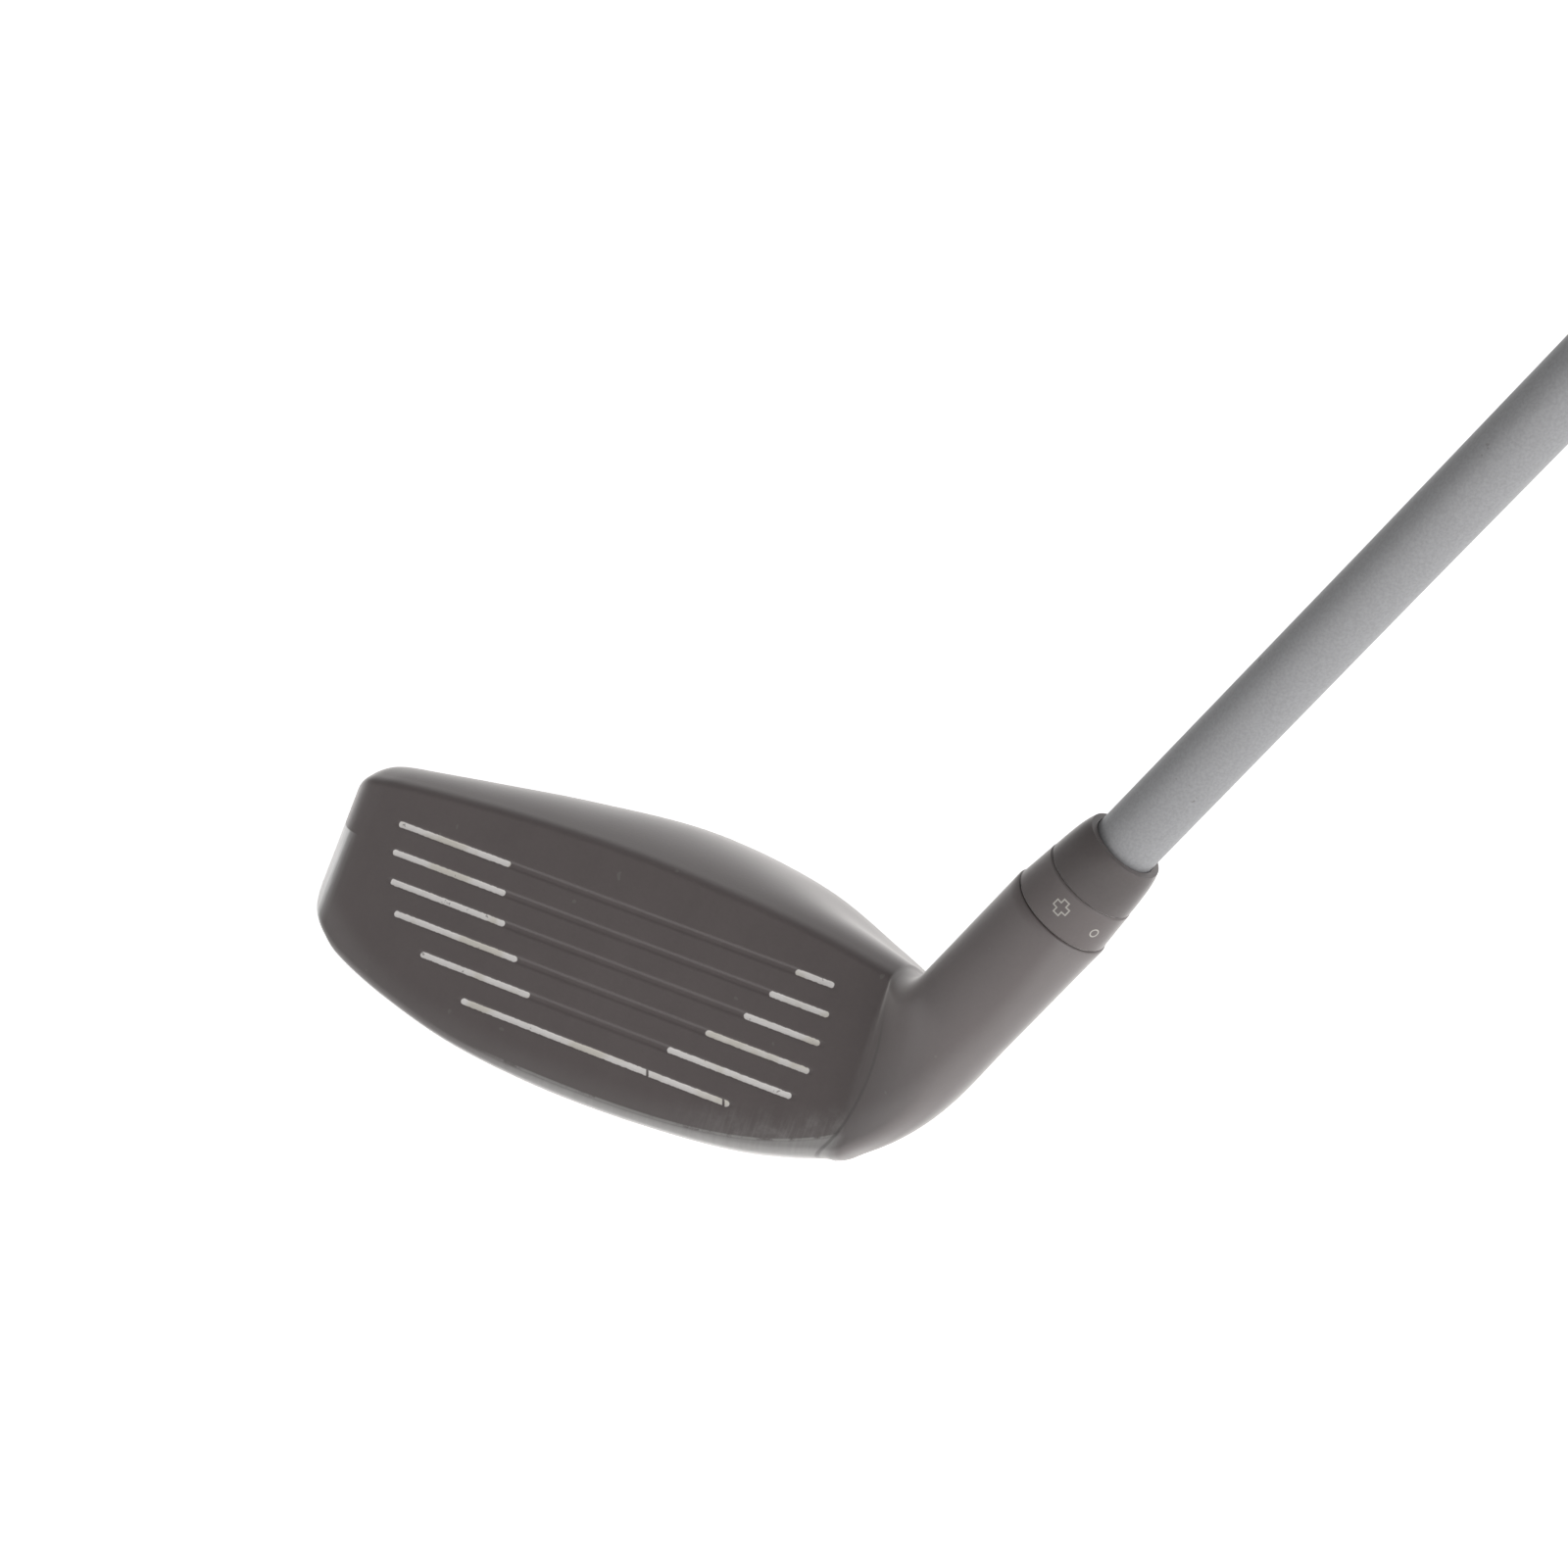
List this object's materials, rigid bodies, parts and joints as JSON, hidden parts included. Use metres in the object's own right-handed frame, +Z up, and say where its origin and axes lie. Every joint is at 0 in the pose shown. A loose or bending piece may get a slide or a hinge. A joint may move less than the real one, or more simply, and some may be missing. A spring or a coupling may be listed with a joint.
{
  "type": "hybrid golf club",
  "caption": "Hybrid golf club with a hollow steel head on an adjustable hosel sleeve, a tapered shaft and a rubber grip.",
  "frame": {"origin": "centre of the wrench port's rim, on the hosel axis at the heel of the sole", "axes": "+Z up with the club at address and the sole on the ground, -Y the way the face points, -X towards the toe; the shaft leans up towards +X at the 60 degree lie"},
  "size_m": [0.6048, 0.064, 0.8756],
  "materials": {
    "face_steel": "matte dark grey",
    "body_steel": "matte dark grey",
    "crown_paint": "matte dark grey",
    "sleeve_black": "satin black anodised",
    "ferrule_black": "satin black",
    "shaft_silver": "satin silver paint on carbon fibre",
    "epoxy": "cured glue",
    "brass_plug": "turned",
    "tape": "paper tape",
    "grip_rubber": "matte",
    "cap_rubber": "smooth matte",
    "damping_rubber": "soft",
    "insert_steel": "machined",
    "weight_steel": "satin",
    "seal_rubber": "matte",
    "washer_steel": "satin",
    "bolt_steel": "satin",
    "patch_nylon": "matte blue"
  },
  "bodies": {
    "shaft_assembly": {"shaft": "shaft_silver", "hosel_sleeve": "sleeve_black", "ferrule": "ferrule_black", "shaft_epoxy": "epoxy", "tip_weight": "brass_plug", "grip_tape": "tape", "grip": "grip_rubber", "grip_cap": "cap_rubber"},
    "head": {"head_body": "body_steel", "face_cup": "face_steel", "crown_cover": "crown_paint", "damping_pad": "damping_rubber", "weight_insert": "insert_steel"},
    "bolt_washer": {"bolt_washer": "washer_steel"},
    "hosel_bolt": {"hosel_bolt": "bolt_steel", "thread_patch": "patch_nylon"},
    "weight_seal": {"weight_seal": "seal_rubber"},
    "sole_weight": {"weight_screw": "weight_steel"}
  },
  "joints": [
    {"name": "head_slide", "type": "slide", "parent": "shaft_assembly", "child": "head", "axis": [-0.5, 0, -0.866], "range_m": [0, 0.026]},
    {"name": "bolt_travel", "type": "slide", "parent": "head", "child": "bolt_washer", "axis": [-0.5, 0, -0.866], "range_m": [0, 0.0077]},
    {"name": "bolt_turn", "type": "hinge", "parent": "bolt_washer", "child": "hosel_bolt", "pos_m": [0, 0, 0], "axis": [-0.5, 0, -0.866], "range_deg": [0, 3960]},
    {"name": "weight_travel", "type": "slide", "parent": "head", "child": "weight_seal", "axis": [0.0037, 0.0505, -0.9987], "range_m": [0, 0.0065]},
    {"name": "weight_turn", "type": "hinge", "parent": "weight_seal", "child": "sole_weight", "pos_m": [-0.04, 0.0305, -0.00938], "axis": [0.0037, 0.0505, -0.9987], "range_deg": [0, 2340]}
  ],
  "couplings": [
    {"joint": "bolt_turn", "follows": "bolt_travel", "rad_per_m": 8976},
    {"joint": "weight_turn", "follows": "weight_travel", "rad_per_m": 6283.2}
  ]
}
